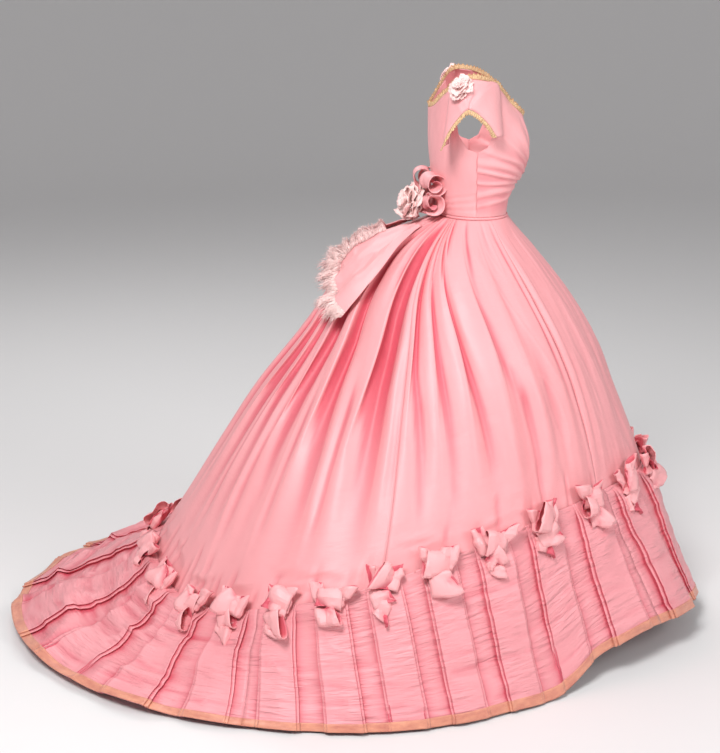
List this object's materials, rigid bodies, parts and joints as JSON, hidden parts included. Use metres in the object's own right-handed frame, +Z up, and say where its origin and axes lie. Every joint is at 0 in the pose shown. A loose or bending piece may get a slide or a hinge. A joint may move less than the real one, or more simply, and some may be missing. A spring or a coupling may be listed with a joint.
{
  "type": "evening dress",
  "caption": "Off-the-shoulder silk ball gown with lace neckline, draped bodice, back bow with fringed tails, trained skirt and box-pleated flounce headed by bows; stands hollow as worn.",
  "frame": {"origin": "the centre of the waist, where the wearer holds the dress up", "axes": "+X to the wearer's left, +Y from front to back along the train, +Z up; the dress faces -Y and the floor lies at Z = -1.06 m"},
  "size_m": [1.4402, 1.7897, 1.4131],
  "materials": {
    "silk": "silk taffeta",
    "silk_light": "silk taffeta, lit face",
    "silk_frayed": "pinked and frayed silk",
    "hem_ribbon": "satin ribbon",
    "lace": "cotton lace"
  },
  "bodies": {
    "root": {"waist_band": "silk", "skirt_front": "silk", "skirt_side_right": "silk", "skirt_side_left": "silk", "skirt_back_right": "silk", "skirt_back_left": "silk", "flounce_front": "silk", "flounce_right": "silk", "flounce_back": "silk", "flounce_left": "silk", "bodice_front": "silk_light", "bodice_back_right": "silk_light", "bodice_back_left": "silk_light", "sleeve_right": "silk_light", "sleeve_left": "silk_light", "flounce_bow_01": "silk_light", "flounce_bow_02": "silk_light", "flounce_bow_03": "silk_light", "flounce_bow_04": "silk_light", "flounce_bow_05": "silk_light", "flounce_bow_06": "silk_light", "flounce_bow_07": "silk_light", "flounce_bow_08": "silk_light", "flounce_bow_09": "silk_light", "flounce_bow_10": "silk_light", "flounce_bow_11": "silk_light", "flounce_bow_12": "silk_light", "flounce_bow_13": "silk_light", "flounce_bow_14": "silk_light", "flounce_bow_15": "silk_light", "flounce_bow_16": "silk_light", "flounce_bow_17": "silk_light", "flounce_bow_18": "silk_light", "flounce_bow_19": "silk_light", "flounce_bow_20": "silk_light", "flounce_bow_21": "silk_light", "flounce_bow_22": "silk_light", "flounce_bow_23": "silk_light", "flounce_bow_24": "silk_light", "flounce_bow_25": "silk_light", "flounce_bow_26": "silk_light", "back_bow_loop_right": "silk_light", "back_bow_loop_left": "silk_light", "back_bow_upper_loop": "silk_light", "back_bow_knot": "silk_light", "sash_tail_right": "silk_light", "sash_tail_left": "silk_light", "shoulder_rosette_right": "silk_frayed", "shoulder_rosette_left": "silk_frayed", "back_bow_rosette": "silk_frayed", "tail_fringe_right": "silk_frayed", "tail_fringe_left": "silk_frayed", "hem_ribbon_front": "hem_ribbon", "hem_ribbon_right": "hem_ribbon", "hem_ribbon_back": "hem_ribbon", "hem_ribbon_left": "hem_ribbon", "sleeve_lace_right": "lace", "sleeve_lace_left": "lace", "neck_lace": "lace"}
  },
  "joints": []
}
